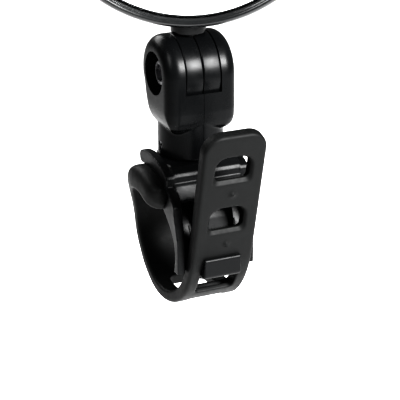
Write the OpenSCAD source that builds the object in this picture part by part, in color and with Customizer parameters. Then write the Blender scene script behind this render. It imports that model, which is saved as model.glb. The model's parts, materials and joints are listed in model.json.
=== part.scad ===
// Clamp-on handlebar mirror: a rubber strap hooks a saddle to the bar, a split fork swivels on the
// saddle, and the mirror pitches in the fork and turns on its neck.
// X runs along the handlebar, -Y faces the rider, +Z is up. The origin is the centre of the clamped bar.

/* [Handlebar clamp] */
// Diameter of the handlebar that the strap closes round
bar_d = 25.4; // [24:0.1:26]
// Width of the strap under the bar
strap_w = 17.6; // [17:0.1:18]
// Thickness of the strap
strap_t = 3.0; // [2.6:0.1:3.2]
// Width of the pad under the saddle
pad_w = 26.6; // [24:0.1:27]
// Thickness of the pad on top of the bar
pad_t = 5.7; // [5.5:0.1:5.8]

/* [Strap tail] */
// Width of the tail and of the run in front of the bar
tail_w = 15.8; // [15:0.1:15.9]
// Outward lean of the tail from vertical
tail_lean = 13.5; // [12:0.5:15]
// Length of the tail above its flexing line
tail_len = 30.6; // [29:0.1:33]
// Width of a slot for the hook
slot_w = 9.9; // [9.6:0.1:10.5]
// Height of a slot for the hook
slot_h = 7.6; // [7:0.1:8]
// Distance from slot to slot
slot_pitch = 13.9; // [13:0.1:14]

/* [Saddle] */
// Width of the saddle over both side rims
saddle_w = 21.2; // [20.6:0.1:22]
// Height of the flat seat of the fork above the bar centre
seat_z = 20.9; // [20.7:0.1:21.1]
// Width of one side rim
rim_w = 2.2; // [2:0.05:2.4]
// Radius of the rim tops about the bar centre
rim_r = 21.7; // [21.4:0.1:22]

/* [Fork] */
// Diameter of the round stem
stem_d = 15.7; // [15:0.1:15.8]
// Height of the pitch axis above the bar centre
pitch_z = 41.1; // [40:0.1:42]
// Distance of the pitch axis behind the swivel axis
pitch_y = 1.1; // [0.5:0.1:1.5]
// Diameter of the fork cheeks and of the barrel between them
knuckle_d = 18.2; // [18:0.1:18.6]
// Width over both cheeks
fork_w = 17.8; // [17.4:0.1:18.4]
// Width of the barrel between the cheeks
barrel_w = 8.7; // [8.6:0.1:8.9]
// Diameter of the clamp screw's shank
screw_d = 4.0; // [3.8:0.1:4]

/* [Mirror head] */
// Outside diameter of the mirror head
head_d = 70.4; // [66:0.1:74]
// Turn of the head about its neck at rest
head_turn = -23.4; // [-90:0.1:90]
// Diameter of the neck
neck_d = 8.4; // [8:0.1:8.6]
// Height of the head's lowest point above the bar centre
head_bottom_z = 52.4; // [52:0.1:53]
// Spherical radius of the convex glass
glass_r = 400; // [300:10:800]
// Radial width of the bezel that shows round the glass
bezel_w = 2.3; // [2:0.1:2.6]

/* [Hidden] */
$fn = 96;
eps = 0.05;        // gap between faces that slide on each other
fit = 0.06;        // radial clearance of a running fit
seam = 0.03;       // half the line between two mating halves

// Strap: angles are measured at the bar centre from straight up, positive towards the rider
bar_r = bar_d / 2;
strap_r = bar_r + strap_t;
pad_r = bar_r + pad_t;
pad_front = 37;
pad_back = -50;
pad_taper_end = -85;
pad_relief = 0.7;                         // lift of the pad's side wings off the bar
run_r = 22;                               // bend of the run in front of the bar, at mid thickness
run_end = 90 + tail_lean;
tail_front_y = -18.2;                     // front face of the tail at the height of the bar centre
strap_mid_r = bar_r + strap_t / 2;
tail_mid = (-tail_front_y) * cos(tail_lean) - strap_t / 2;   // distance of the tail's mid plane from the bar
run_start = run_end + acos((run_r - tail_mid) / (run_r - strap_mid_r));
run_c = polar(-(run_r - strap_mid_r), run_start);
flex_z = 3.5;                             // height of the tail's front face where it flexes
flex_y = tail_front_y - flex_z * tan(tail_lean);
flex_end_r = strap_t / 2 - 0.02;          // round lower end of the tail, on the flexing axis
flex_cup_r = flex_end_r + eps;            // cup in the run that it turns in
tail_top_w = 15.8;
tail_corner = 4.6;
tail_gap = 0.02;
flex_p = [flex_y, flex_z] + polar(tail_gap, tail_lean + 180);
slot_corner = 2.9;
slot_foot_corner = 1.2;
slot_first = 3.6;                         // height of the lower slot's foot above the flexing line
hook_slot_top = -1.2;
hook_slot_foot = -9.2;
under_slot_start = 146;                   // the next slot, under the bar
under_slot_end = 192;

// Saddle
wing_r = pad_r + eps;
bar_gap_r = bar_r + 0.6;
rim_in = saddle_w / 2 - rim_w;
rim_back = -14;
rim_front = 29;
leg_r = 19.4;
leg_front = 48;
leg_y = -15;
leg_foot_z = -3.8;
web_t = 0.9;
seat_back_r = 8.1;                        // round back of the seat, under the stem
arm_w = 9.4;
lip_front_y = -19.3;
lip_top_z = 0.6;
lip_t = 0.9;

// Swivel
stem_r = stem_d / 2;
post_r = 3.6;
post_flange_r = 5.4;
post_flange_z = 28.9;
post_top_z = 30.4;
post_screw_r = 2.0;
post_head_r = 3.7;
post_head_h = 1.3;
swivel_washer_t = 0.65;
spring_washer_t = 0.6;
set_screw_z = 23.6;
set_screw_r = 1.0;

// Fork
knuckle_r = knuckle_d / 2;
cheek_x = fork_w / 2;
cheek_in = 4.55;
cheek_fillet = 3.4;
fork_shoulder_z = 28;
fork_corner = 4.5;
pocket_r = knuckle_r + 0.2;
front_lip_z = 37.65;
back_lip_z = 36.6;
recess_r = 5.2;
recess_floor_x = 5.6;
screw_r = screw_d / 2;
screw_head_r = 3.0;
screw_head_x = 7.4;
screw_washer_t = 0.4;
nut_flats = 7;
nut_t = 3.2;
friction_washer_r = 6;
friction_washer_t = 0.48;

// Barrel and neck
barrel_x = barrel_w / 2;
barrel_recess_x = 4.05;
pin_r = 2.6;
collar_r = 3.5;
collar_z = 44.2;
collar_h = 1.9;
ring_h = 0.7;
neck_r = neck_d / 2;
neck_foot_z = pitch_z + knuckle_r + 0.15;
spigot_r = 2.0;
spigot_top_z = 58.5;

// Mirror head: n is the distance in front of the neck axis
head_r = head_d / 2;
head_z = head_bottom_z + head_r;
shell_front_n = 2.3;
shell_back_n = -5;
shell_wall = 1.8;
shell_round = 5;
bezel_front_n = 6;
bezel_round = 1.6;
lip_under_n = 4.7;
glass_edge_r = head_r - 1.75;
glass_front_n = 5.8;
glass_t = 2;
pad_in_r = 16;
pad_out_r = 28;
pad_back_n = 1.6;
rib_r = 20;                               // ring inside the shell that carries the foam
rib_t = 3;
rib_back_n = -2.8;
arc_steps = 10;

function polar(r, a) = [-r * sin(a), r * cos(a)];
function arc(c, r, a1, a2) = [for (i = [0:arc_steps]) c + polar(r, a1 + (a2 - a1) * i / arc_steps)];
function smooth(t) = t * t * (3 - 2 * t);
// Depth of the glass surface below its centre at radius r
function sag(r) = glass_r - sqrt(glass_r * glass_r - r * r);

// Extrudes an outline drawn as (Y, Z) to width w, centred on X = 0
module along_x(w) rotate([90, 0, 90]) translate([0, 0, -w / 2]) linear_extrude(w) children();
// A shaft along X from x1 to x2 on the pitch axis
module on_pitch(x1, x2, r) translate([x1, pitch_y, pitch_z]) rotate([0, 90, 0]) cylinder(h = x2 - x1, r = r);
// The half space on one side of the middle plane
module half(side) translate([side > 0 ? seam : -seam - 60, -60, -60]) cube([60, 120, 200]);
module ring(h, r1, r2) difference() { cylinder(h = h, r = r2); translate([0, 0, -1]) cylinder(h = h + 2, r = r1); }
module wedge(a1, a2) polygon(concat([[0, 0]], arc([0, 0], 80, a1, a2)));
module band(r1, r2, a1, a2) intersection() { difference() { circle(r2); circle(r1); } wedge(a1, a2); }
// Places children in the head's own frame: Z is the neck axis, the face looks along -Y
module in_head() translate([0, pitch_y, 0]) rotate([0, 0, head_turn]) children();
// Places children in the tail's own frame: Y points in from its front face, Z runs up it, Z = 0 is the flexing axis
module on_tail() translate([0, flex_y, flex_z]) rotate([tail_lean, 0, 0]) children();
// Turns a (radius, n) outline about the axis of the glass
module head_turned() in_head() translate([0, 0, head_z]) rotate([90, 0, 0]) rotate_extrude() children();

// Strap

// Round the bar from the pad's front edge over the top, down the back and under the bar
module loop_outline() polygon(concat(
    [[0, 0]],
    arc([0, 0], pad_r, pad_front, pad_back),
    [for (i = [1:arc_steps]) let (t = i / arc_steps)
        polar(pad_r - (pad_r - strap_r) * smooth(t), pad_back + (pad_taper_end - pad_back) * t)],
    arc([0, 0], strap_r, pad_taper_end - 8, run_start - 360)));
// From under the bar up to the line where the tail flexes
module run_outline() polygon(concat(
    [polar(bar_r - 1, run_start + 6), polar(strap_r - 0.4, run_start + 6)],
    arc(run_c, run_r + strap_t / 2, run_start - 1, run_end),
    [flex_p, flex_p + polar(strap_t, run_end + 180)],
    arc(run_c, run_r - strap_t / 2, run_end, run_start - 10)));
module pad_wing() polygon(concat(
    arc([0, 0], pad_r - 0.05, pad_front - 3, pad_back),
    arc([0, 0], bar_r + pad_relief, pad_back, pad_front - 3)));
module strap_loop() color("#2a2b2c") difference() {
    union() {
        along_x(strap_w) loop_outline();
        along_x(tail_w) run_outline();
        for (s = [-1, 1]) translate([s * (pad_w + strap_w - 2) / 4, 0, 0]) along_x((pad_w - strap_w) / 2 + 1) pad_wing();
    }
    along_x(2 * pad_w) circle(bar_r);
    translate([-slot_w / 2, -30, hook_slot_foot]) cube([slot_w, 20, hook_slot_top - hook_slot_foot]);
    along_x(slot_w) wedge(under_slot_start, under_slot_end);
    // The cup is open in front, so that the tail can fold down towards the rider
    on_tail() {
        translate([-15, strap_t / 2, 0]) rotate([0, 90, 0]) cylinder(h = 30, r = flex_cup_r);
        translate([-15, -1, -flex_cup_r]) cube([30, 1 + strap_t / 2, 3]);
        translate([-15, 0, -0.7 * flex_cup_r]) cube([30, strap_t + 1, 3]);
    }
}
// One slot outline: a flat foot and a round-cornered top, foot centre at the origin
module slot_outline() {
    body_h = slot_h - slot_corner;
    translate([-slot_w / 2, slot_foot_corner]) square([slot_w, body_h - slot_foot_corner]);
    translate([-slot_w / 2 + slot_corner, 0]) square([slot_w - 2 * slot_corner, slot_h]);
    for (s = [-1, 1]) {
        translate([s * (slot_w / 2 - slot_corner), body_h]) circle(slot_corner);
        translate([s * (slot_w / 2 - slot_foot_corner), slot_foot_corner]) circle(slot_foot_corner);
        translate([s * (slot_w / 2 - slot_corner) - slot_foot_corner, 0]) square([2 * slot_foot_corner, slot_corner]);
    }
}
module tail_outline() {
    edge_z = tail_len - tail_corner;
    polygon([[-tail_w / 2, 0], [tail_w / 2, 0], [tail_top_w / 2, edge_z], [-tail_top_w / 2, edge_z]]);
    translate([-tail_top_w / 2 + tail_corner, edge_z - 1]) square([tail_top_w - 2 * tail_corner, tail_corner + 1]);
    for (s = [-1, 1]) translate([s * (tail_top_w / 2 - tail_corner), edge_z]) circle(tail_corner);
}
module strap_tail() color("#2a2b2c") on_tail() {
    translate([0, strap_t, 0]) rotate([90, 0, 0]) linear_extrude(strap_t) difference() {
        tail_outline();
        for (i = [0:1]) translate([0, slot_first + i * slot_pitch]) slot_outline();
    }
    translate([-tail_w / 2, strap_t / 2, 0]) rotate([0, 90, 0]) cylinder(h = tail_w, r = flex_end_r);
}

// Saddle

module saddle_middle() {
    difference() {
        polygon([[9, 12], [9, seat_z], [-8, seat_z], [-9.7, 19.6], [-10.1, 18.7], [-10.1, 17.4], [-10.7, 16.8],
            [-12.6, 13.5], [-9, 11]]);
        intersection() { circle(wing_r); wedge(-62, pad_front + 0.6); }
        circle(bar_gap_r);
    }
    band(bar_gap_r, bar_gap_r + web_t, pad_front + 0.6, 105);
}
module saddle_rim() difference() {
    union() {
        band(bar_r, rim_r, rim_back, rim_front);
        translate(polar((rim_r + wing_r) / 2, rim_back)) circle((rim_r - wing_r) / 2);
        band(bar_r, leg_r, rim_front - 0.1, leg_front);
        polygon([[-10, 10], polar(leg_r, leg_front), [-14.9, 8], [leg_y, 5], [leg_y, leg_foot_z], [-10, leg_foot_z]]);
    }
    intersection() { circle(wing_r); wedge(-62, pad_front + 0.6); }
    circle(bar_gap_r);
}
module hook_arm() difference() {
    polygon([[-8, 13.5], [-12.8, 13.5], [-15.7, 5], [-14.6, -1.4], [lip_front_y + lip_t, -1.4],
        [lip_front_y + lip_t, lip_top_z], [lip_front_y, lip_top_z], [lip_front_y + 0.2, -3.6], [-18.3, -4.4], [-8, -4.4]]);
    circle(bar_gap_r);
    intersection() { circle(wing_r); wedge(-62, pad_front + 0.6); }
}
module base_saddle() color("#1d1e1f") difference() {
    union() {
        intersection() {
            along_x(2 * rim_in + 0.4) saddle_middle();
            union() { cylinder(h = 40, r = seat_back_r); translate([-15, -20, -15]) cube([30, 20, 50]); }
        }
        for (s = [-1, 1]) translate([s * (saddle_w - rim_w) / 2, 0, 0]) along_x(rim_w) saddle_rim();
        along_x(arm_w) hook_arm();
    }
    translate([0, 0, 10]) cylinder(h = 20, r = post_screw_r + 0.1);
    translate([0, 0, 10]) cylinder(h = wing_r + post_head_h - 10, r = post_head_r + 0.1);
}

// Swivel

module swivel_post() color("#8d9093") difference() {
    union() {
        translate([0, 0, seat_z]) cylinder(h = post_top_z - seat_z, r = post_r);
        translate([0, 0, post_flange_z]) cylinder(h = post_top_z - post_flange_z, r = post_flange_r);
    }
    translate([0, 0, seat_z - 1]) cylinder(h = 8, r = post_screw_r);
}
module post_screw() color("#b3b5b8") difference() {
    union() {
        translate([0, 0, wing_r + eps]) cylinder(h = post_head_h - eps, r = post_head_r);
        translate([0, 0, wing_r + eps]) cylinder(h = seat_z + 6 - wing_r, r = post_screw_r);
    }
    translate([0, 0, wing_r - 1]) cylinder(h = 2, r = 1.3, $fn = 6);
}
module swivel_washer() color("#c9c6b8") translate([0, 0, seat_z]) ring(swivel_washer_t, post_r + 0.1, 6.8);
module swivel_spring_washer() color("#a9abad")
    translate([0, 0, post_flange_z - spring_washer_t - eps]) ring(spring_washer_t, post_r + 0.1, post_flange_r - 0.1);

// Fork

module fork_outline() {
    translate([pitch_y, pitch_z]) circle(knuckle_r);
    polygon([[-stem_r, fork_shoulder_z - 0.1], [pitch_y - knuckle_r, pitch_z], [pitch_y, pitch_z],
        [9.66, 38], [stem_r, fork_shoulder_z + 0.5], [stem_r, fork_shoulder_z - 0.1]]);
}
module fork_front_view() {
    shoulder = fork_shoulder_z + fork_corner;
    translate([-cheek_x, shoulder]) square([fork_w, 30]);
    translate([-cheek_x + fork_corner, fork_shoulder_z]) square([fork_w - 2 * fork_corner, 10]);
    for (s = [-1, 1]) translate([s * (cheek_x - fork_corner), shoulder]) circle(fork_corner);
}
module fork_plan() {
    f = cheek_fillet;
    front = pitch_y - knuckle_r;
    translate([-cheek_x + f, front]) square([fork_w - 2 * f, knuckle_d]);
    translate([-cheek_x, front + f]) square([fork_w, knuckle_d - 2 * f]);
    for (s = [-1, 1], y = [front + f, front + knuckle_d - f]) translate([s * (cheek_x - f), y]) circle(f);
}
// Round end of the fork with a filleted rim, about the pitch axis
module cheek_disc() translate([0, pitch_y, pitch_z]) rotate([0, 90, 0]) for (m = [0, 1]) mirror([0, 0, m])
    rotate_extrude() {
        square([knuckle_r, cheek_x - cheek_fillet]);
        square([knuckle_r - cheek_fillet, cheek_x]);
        translate([knuckle_r - cheek_fillet, cheek_x - cheek_fillet]) intersection() {
            circle(cheek_fillet);
            square(cheek_fillet);
        }
    }
module fork_solid() {
    translate([0, 0, seat_z + eps]) cylinder(h = fork_shoulder_z + 3 - seat_z, r = stem_r);
    cheek_disc();
    intersection() {
        along_x(fork_w) fork_outline();
        rotate([90, 0, 0]) translate([0, 0, -20]) linear_extrude(40) fork_front_view();
        linear_extrude(pitch_z) fork_plan();
    }
}
module fork_hollows() {
    on_pitch(-cheek_in, cheek_in, pocket_r);
    translate([-cheek_in, -20, front_lip_z]) cube([2 * cheek_in, 20, 20]);
    translate([-cheek_in, 5, back_lip_z]) cube([2 * cheek_in, 20, 20]);
    on_pitch(-20, 20, screw_r + 0.1);
    translate([0, 0, seat_z - 1]) cylinder(h = post_flange_z - seat_z + 1, r = post_r + fit);
    translate([0, 0, seat_z - 1]) cylinder(h = swivel_washer_t + eps + 1, r = 6.9);
    translate([0, 0, post_flange_z - spring_washer_t - 2 * eps])
        cylinder(h = post_top_z - post_flange_z + spring_washer_t + 4 * eps, r = post_flange_r + fit);
}
module fork_left() color("#222324") difference() {
    intersection() { fork_solid(); half(-1); }
    fork_hollows();
    on_pitch(-20, -recess_floor_x, recess_r);
    translate([-20, 0, set_screw_z]) rotate([0, 90, 0]) cylinder(h = 20 - post_r, r = set_screw_r);
}
module fork_right() color("#222324") difference() {
    intersection() { fork_solid(); half(1); }
    fork_hollows();
    translate([recess_floor_x, pitch_y, pitch_z]) rotate([0, 90, 0]) cylinder(h = 20, d = (nut_flats + 0.1) / cos(30), $fn = 6);
}
module swivel_set_screw() color("#6e7073") difference() {
    translate([-stem_r + 0.25, 0, set_screw_z]) rotate([0, 90, 0]) cylinder(h = stem_r - 0.25 - post_r - fit - eps, r = set_screw_r);
    translate([-stem_r - 1, 0, set_screw_z]) rotate([0, 90, 0]) cylinder(h = 2.2, r = 0.55, $fn = 6);
}
module clamp_screw() color("#3a3b3d") difference() {
    union() {
        on_pitch(-screw_head_x, -recess_floor_x - screw_washer_t, screw_head_r);
        on_pitch(-recess_floor_x - screw_washer_t - 0.1, recess_floor_x + nut_t + 0.4, screw_r);
    }
    translate([-screw_head_x - 1, pitch_y, pitch_z]) rotate([0, 90, 0]) cylinder(h = 2.0, d = 4 / cos(30), $fn = 6);
}
module screw_washer() color("#2f3032") difference() {
    on_pitch(-recess_floor_x - screw_washer_t, -recess_floor_x, 4.4);
    on_pitch(-recess_floor_x - 1, 0, screw_r + 0.1);
}
module clamp_nut() color("#9a9c9f") difference() {
    translate([recess_floor_x, pitch_y, pitch_z]) rotate([0, 90, 0]) cylinder(h = nut_t, d = nut_flats / cos(30), $fn = 6);
    on_pitch(0, 20, screw_r);
}
module friction_washer(side) {
    x1 = side > 0 ? cheek_in - friction_washer_t : -cheek_in;
    difference() { on_pitch(x1, x1 + friction_washer_t, friction_washer_r); on_pitch(-20, 20, screw_r + 0.1); }
}
module friction_washer_left() color("#c9c6b8") friction_washer(-1);
module friction_washer_right() color("#c9c6b8") friction_washer(1);

// Barrel

module barrel_half(side) difference() {
    intersection() { on_pitch(-barrel_x, barrel_x, knuckle_r); half(side); }
    on_pitch(-20, 20, screw_r + fit);
    for (s = [-1, 1]) on_pitch(s > 0 ? barrel_recess_x : -20, s > 0 ? 20 : -barrel_recess_x, friction_washer_r + 0.2);
    translate([0, pitch_y, collar_z]) cylinder(h = 20, r = pin_r + fit);
    translate([0, pitch_y, collar_z - eps]) cylinder(h = collar_h + ring_h + 3 * eps, r = collar_r + fit);
}
module barrel_left() color("#242526") barrel_half(-1);
module barrel_right() color("#242526") barrel_half(1);
module neck_friction_ring() color("#4a3b30")
    translate([0, pitch_y, collar_z + collar_h + eps]) ring(ring_h, pin_r + fit, collar_r);

// Mirror head

module mirror_neck() color("#151617") {
    translate([0, pitch_y, 0]) {
        translate([0, 0, collar_z]) cylinder(h = collar_h, r = collar_r);
        translate([0, 0, collar_z]) cylinder(h = neck_foot_z + 1 - collar_z, r = pin_r);
        translate([0, 0, neck_foot_z + 0.5]) cylinder(h = spigot_top_z - neck_foot_z - 0.5, r = spigot_r);
    }
    // The top of the neck is coped to the round edge of the head
    difference() {
        translate([0, pitch_y, neck_foot_z]) cylinder(h = 3.4, r = neck_r);
        in_head() translate([0, 20, head_z]) rotate([90, 0, 0]) cylinder(h = 40, r = head_r + 0.02);
    }
}
// Back surface of the shell as (radius, n) points, moved inwards by d
function shell_points(d) = let (r1 = head_r - d, c = [r1 - shell_round, shell_front_n - 1.3])
    concat([[0, shell_back_n + d]],
        [for (i = [1:arc_steps]) let (r = (r1 - shell_round) * i / arc_steps)
            [r, shell_back_n + d + (c[1] - shell_round * 0.7 + d * 0.3 - shell_back_n - d) * pow(i / arc_steps, 2)]],
        [for (i = [1:arc_steps]) let (a = 90 * i / arc_steps)
            [c[0] + shell_round * sin(a), c[1] - (shell_round * 0.7 - d * 0.3) * cos(a)]],
        [[r1, shell_front_n + (d > 0 ? 1 : 0)], [0, shell_front_n + (d > 0 ? 1 : 0)]]);
module housing_boss() in_head() intersection() {
    translate([0, 0, head_bottom_z - 1]) cylinder(h = spigot_top_z - head_bottom_z + 2, r = neck_r - 0.2);
    translate([-10, -2.2, 0]) cube([20, 12, 200]);
    translate([0, 20, head_z]) rotate([90, 0, 0]) cylinder(h = 40, r = head_r - 0.02);
}
module mirror_housing() color("#1b1c1d") difference() {
    union() {
        difference() {
            head_turned() polygon(shell_points(0));
            head_turned() polygon(shell_points(shell_wall));
        }
        head_turned() translate([rib_r, rib_back_n]) square([rib_t, pad_back_n - rib_back_n - eps]);
        housing_boss();
    }
    translate([0, pitch_y, neck_foot_z]) cylinder(h = spigot_top_z - neck_foot_z, r = spigot_r);
}
module mirror_bezel() color("#2b2c2e") head_turned() {
    r_in = head_r - bezel_w;
    translate([glass_edge_r + 0.1, shell_front_n]) square([head_r - glass_edge_r - 0.1, bezel_front_n - bezel_round - shell_front_n]);
    translate([r_in + 0.3, lip_under_n]) square([glass_edge_r + 0.4 - r_in - 0.3, bezel_front_n - lip_under_n]);
    translate([r_in, lip_under_n]) square([1, 0.8]);
    translate([head_r - bezel_round, bezel_front_n - bezel_round]) intersection() {
        circle(bezel_round);
        square(bezel_round);
    }
}
module glass_outline(r1, r2, front, back) polygon(concat(
    [for (i = [0:arc_steps]) let (r = r1 + (r2 - r1) * i / arc_steps) [r, front - sag(r)]],
    [for (i = [arc_steps:-1:0]) let (r = r1 + (r2 - r1) * i / arc_steps) [r, back - sag(r)]]));
module mirror_glass() color("#e8ecf0") head_turned() glass_outline(0, glass_edge_r, glass_front_n, glass_front_n - glass_t);
module glass_pad() color("#4b4c4e") head_turned() difference() {
    translate([pad_in_r, pad_back_n]) square([pad_out_r - pad_in_r, 4]);
    glass_outline(0, pad_out_r + 2, glass_front_n + 4, glass_front_n - glass_t - 0.02);
}

base_saddle();
strap_loop();
strap_tail();
swivel_post();
post_screw();
swivel_washer();
swivel_spring_washer();
fork_left();
fork_right();
swivel_set_screw();
clamp_screw();
screw_washer();
clamp_nut();
friction_washer_left();
friction_washer_right();
barrel_left();
barrel_right();
neck_friction_ring();
mirror_neck();
mirror_housing();
mirror_bezel();
mirror_glass();
glass_pad();
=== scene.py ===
"""Looks of a clamp-on bicycle mirror: moulded strap, saddle, split fork, barrel, neck and mirror head."""

import json
import math

import bmesh
import bpy
from bpy.props import FloatProperty, FloatVectorProperty, PointerProperty
from mathutils import Matrix, Vector


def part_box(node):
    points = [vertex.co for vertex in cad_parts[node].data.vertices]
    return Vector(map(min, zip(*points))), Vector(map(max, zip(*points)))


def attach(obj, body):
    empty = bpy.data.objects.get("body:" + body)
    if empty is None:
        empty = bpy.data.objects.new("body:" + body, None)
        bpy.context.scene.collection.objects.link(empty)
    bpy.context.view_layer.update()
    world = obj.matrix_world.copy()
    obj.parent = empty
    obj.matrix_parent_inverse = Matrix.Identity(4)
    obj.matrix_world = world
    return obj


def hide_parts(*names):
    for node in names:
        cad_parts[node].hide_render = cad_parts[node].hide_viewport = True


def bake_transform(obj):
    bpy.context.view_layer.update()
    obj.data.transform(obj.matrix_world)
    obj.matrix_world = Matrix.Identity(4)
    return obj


bl_info = {
    "name": "Bike Mirror Parts",
    "version": (1, 0, 0),
    "blender": (4, 5, 0),
    "location": "View3D > Sidebar > Bike Mirror",
    "description": "Moulded strap, saddle, fork, barrel and mirror head around a packed frame",
    "category": "Add Mesh",
}

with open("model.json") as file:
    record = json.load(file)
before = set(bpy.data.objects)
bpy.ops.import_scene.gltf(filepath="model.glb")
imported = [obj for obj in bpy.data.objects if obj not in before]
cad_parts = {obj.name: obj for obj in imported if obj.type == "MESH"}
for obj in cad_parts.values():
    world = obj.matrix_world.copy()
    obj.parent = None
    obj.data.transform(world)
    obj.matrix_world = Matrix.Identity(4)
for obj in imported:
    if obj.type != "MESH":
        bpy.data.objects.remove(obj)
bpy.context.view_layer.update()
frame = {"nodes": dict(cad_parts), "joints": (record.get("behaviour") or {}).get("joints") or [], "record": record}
MM = 0.001
JOINTS = {j["name"]: j for j in frame["joints"]}


# Places that the frame gives, in millimetres


def mm(vector):
    return Vector(vector) / MM


PITCH = mm(JOINTS["head_pitch"]["pos_m"])
FLEX = mm(JOINTS["tail_flex"]["pos_m"])
TAIL_LOW, TAIL_HIGH = (mm(c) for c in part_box("strap_tail"))
BEZEL_LOW, BEZEL_HIGH = (mm(c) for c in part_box("mirror_bezel"))
FORK_LOW, FORK_HIGH = (mm(c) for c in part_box("fork_left"))
BARREL_LOW, BARREL_HIGH = (mm(c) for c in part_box("barrel_right"))
SET_SCREW = (mm(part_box("swivel_set_screw")[0]) + mm(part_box("swivel_set_screw")[1])) / 2
BAR_R = frame["record"]["mounts"][0]["dims"]["r_mm"]


# Sizes and colours that a user may change


class StrapSettings(bpy.types.PropertyGroup):
    """Moulded rubber strap, in millimetres"""

    thickness: FloatProperty(
        name="Thickness", description="Thickness of the strap", default=3.0, min=2.6, max=3.2
    )
    pad_thickness: FloatProperty(
        name="Pad", description="Thickness under the saddle", default=5.7, min=5.5, max=5.8
    )
    loop_width: FloatProperty(
        name="Loop width", description="Width under the bar", default=17.6, min=17, max=18
    )
    pad_width: FloatProperty(
        name="Pad width", description="Width of the pad", default=26.6, min=24, max=27
    )
    tail_width: FloatProperty(
        name="Tail width", description="Width in front of the bar", default=15.8, min=15, max=16
    )
    tip_width: FloatProperty(
        name="Tip width", description="Width near the end", default=15.8, min=14, max=16
    )
    lean: FloatProperty(
        name="Lean", description="Outward lean of the tail", default=math.radians(13.5), subtype="ANGLE",
        unit="ROTATION"
    )
    slot_width: FloatProperty(
        name="Slot width", description="Width of a slot", default=9.9, min=9.6, max=10.5
    )
    slot_height: FloatProperty(
        name="Slot height", description="Height of a slot", default=7.6, min=7, max=8
    )
    slot_pitch: FloatProperty(
        name="Slot pitch", description="Distance from slot to slot", default=13.9, min=13, max=14
    )
    colour: FloatVectorProperty(
        name="Rubber", description="Colour of the rubber", default=(0.0016, 0.0017, 0.0017), subtype="COLOR",
        min=0, max=1
    )


class BodySettings(bpy.types.PropertyGroup):
    """Saddle, fork and barrel, in millimetres"""

    seat_height: FloatProperty(
        name="Seat", description="Height of the fork's seat", default=20.9, min=20.7, max=21.1
    )
    saddle_width: FloatProperty(
        name="Saddle width", description="Width over both rims", default=21.2, min=20.6, max=22
    )
    rim_width: FloatProperty(name="Rim", description="Width of a side rim", default=2.2, min=2, max=2.4)
    stem_radius: FloatProperty(
        name="Stem radius", description="Radius of the round stem", default=7.85, min=7.5, max=7.9
    )
    cheek_fillet: FloatProperty(
        name="Fillet", description="Rounding of the cheeks", default=3.3, min=2, max=3.5
    )
    recess_radius: FloatProperty(
        name="Recess", description="Radius round the screw", default=5.2, min=5, max=5.6
    )
    colour: FloatVectorProperty(
        name="Plastic", description="Colour of the hard plastic", default=(0.0012, 0.0013, 0.0014),
        subtype="COLOR", min=0, max=1
    )


class HeadSettings(bpy.types.PropertyGroup):
    """Mirror head, in millimetres"""

    turn: FloatProperty(
        name="Turn", description="Turn of the head about its neck", default=math.radians(-23.4),
        subtype="ANGLE", unit="ROTATION"
    )
    glass_curve: FloatProperty(
        name="Glass curve", description="Spherical radius of the glass", default=400, min=300, max=800
    )
    bezel_width: FloatProperty(
        name="Bezel", description="Width of the bezel", default=2.3, min=2, max=2.6
    )
    neck_radius: FloatProperty(
        name="Neck radius", description="Radius of the neck", default=4.2, min=4, max=4.3
    )
    colour: FloatVectorProperty(
        name="Bezel colour", description="Colour of the bezel", default=(0.0030, 0.0032, 0.0033),
        subtype="COLOR", min=0, max=1
    )


# Mesh helpers: pieces are shaped in millimetres and scaled to metres when they are done


def new_object(name, bm):
    mesh = bpy.data.meshes.new(name)
    bm.to_mesh(mesh)
    bm.free()
    obj = bpy.data.objects.new(name, mesh)
    bpy.context.scene.collection.objects.link(obj)
    return obj


def recalculated(bm):
    bmesh.ops.remove_doubles(bm, verts=bm.verts, dist=0.001)
    bmesh.ops.recalc_face_normals(bm, faces=bm.faces)
    return bm


def lathe(profile, matrix=None, steps=160):
    """Spins a closed (radius, height) outline about Z, then moves it by matrix."""
    bm = bmesh.new()
    verts = [bm.verts.new((r, 0, h)) for r, h in profile]
    edges = [bm.edges.new((a, b)) for a, b in zip(verts, verts[1:] + verts[:1])]
    bmesh.ops.spin(
        bm, geom=verts + edges, cent=(0, 0, 0), axis=(0, 0, 1), angle=math.tau, steps=steps, use_merge=True
    )
    recalculated(bm)
    if matrix:
        bmesh.ops.transform(bm, matrix=matrix, verts=bm.verts)
    return bm


def prism(outline, low, high, matrix=None):
    """A closed (x, y) outline raised from z = low to z = high, then moved by matrix."""
    bm = bmesh.new()
    face = bm.faces.new([bm.verts.new((x, y, low)) for x, y in outline])
    out = bmesh.ops.extrude_face_region(bm, geom=[face])
    top = [g for g in out["geom"] if isinstance(g, bmesh.types.BMVert)]
    bmesh.ops.translate(bm, vec=(0, 0, high - low), verts=top)
    recalculated(bm)
    if matrix:
        bmesh.ops.transform(bm, matrix=matrix, verts=bm.verts)
    return bm


def block(low, high):
    bm = bmesh.new()
    bmesh.ops.create_cube(bm, size=1)
    size = Vector(high) - Vector(low)
    bmesh.ops.scale(bm, vec=size, verts=bm.verts)
    bmesh.ops.translate(bm, vec=(Vector(high) + Vector(low)) / 2, verts=bm.verts)
    return bm


def rod(low, high, radius, matrix=None, steps=96):
    """A cylinder along Z from low to high, then moved by matrix."""
    bm = bmesh.new()
    bmesh.ops.create_cone(bm, cap_ends=True, segments=steps, radius1=radius, radius2=radius, depth=high - low)
    bmesh.ops.translate(bm, vec=(0, 0, (high + low) / 2), verts=bm.verts)
    if matrix:
        bmesh.ops.transform(bm, matrix=matrix, verts=bm.verts)
    return bm


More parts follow.
